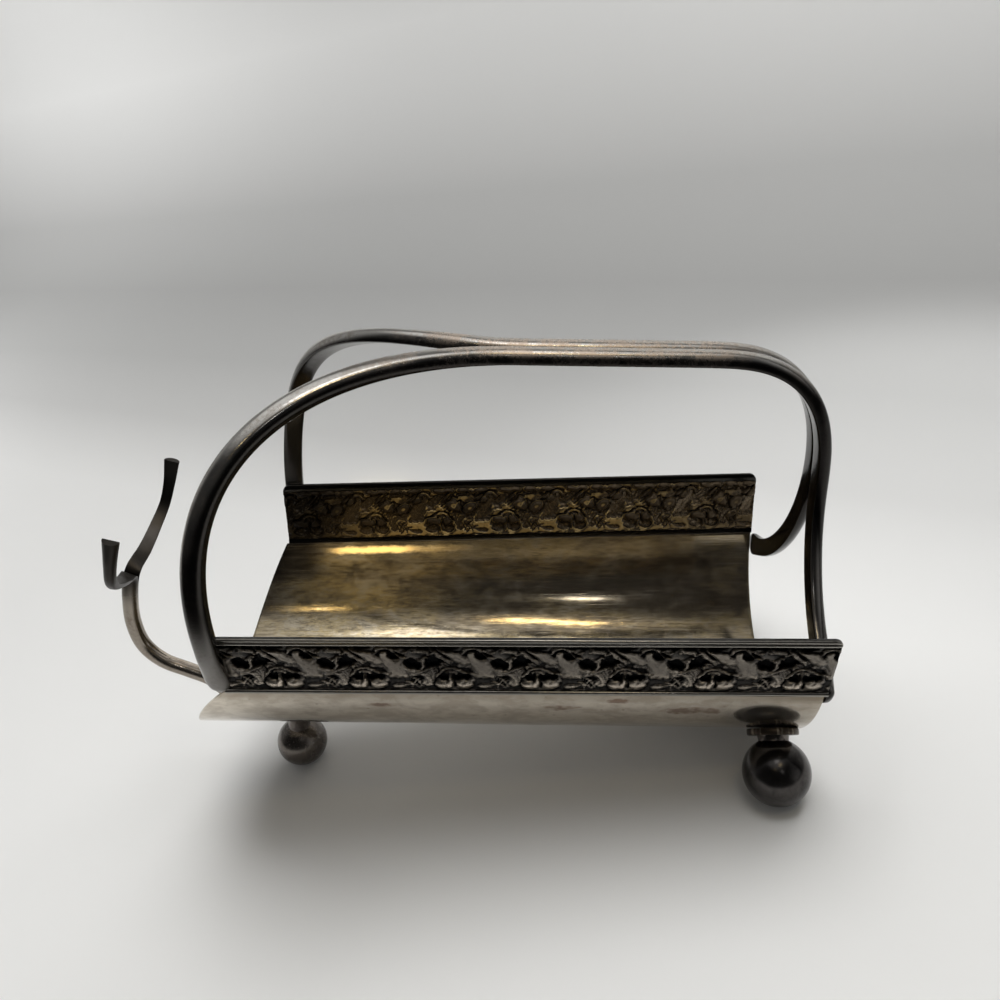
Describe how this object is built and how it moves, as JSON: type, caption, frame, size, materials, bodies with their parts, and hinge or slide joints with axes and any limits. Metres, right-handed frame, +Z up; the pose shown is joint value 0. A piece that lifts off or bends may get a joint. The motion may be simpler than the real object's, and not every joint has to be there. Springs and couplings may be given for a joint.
{
  "type": "serving basket",
  "caption": "Silver-plated wine bottle cradle: half-round trough with stamped gallery sides, twin-bar carrying handle, forked neck rest and ball feet.",
  "frame": {"origin": "middle of the bounding box, on the surface that the three ball feet stand on", "axes": "+X along the trough towards its base end, +Y across the trough, +Z up"},
  "size_m": [0.2882, 0.1284, 0.1879],
  "materials": {
    "trough_plate": "tarnished silver plate, lightly scratched",
    "stamped_plate": "oxidised stamped silver plate",
    "bar_plate": "handled silver plate, worn on the grip",
    "foot_plate": "dark tarnished silver plate",
    "collar_plate": "brown tarnished silver plate"
  },
  "bodies": {
    "root": {"tray": "trough_plate", "front_gallery": "stamped_plate", "front_top_rim": "stamped_plate", "front_base_bead": "stamped_plate", "rear_gallery": "stamped_plate", "rear_top_rim": "stamped_plate", "rear_base_bead": "stamped_plate", "front_handle_bar": "bar_plate", "rear_handle_bar": "bar_plate", "front_neck_rest_bar": "bar_plate", "rear_neck_rest_bar": "bar_plate", "front_foot_ball": "foot_plate", "front_foot_neck": "foot_plate", "front_foot_collar": "collar_plate", "rear_foot_ball": "foot_plate", "rear_foot_neck": "foot_plate", "rear_foot_collar": "collar_plate", "neck_foot_ball": "foot_plate", "neck_foot_neck": "foot_plate", "neck_foot_collar": "collar_plate"}
  },
  "joints": []
}
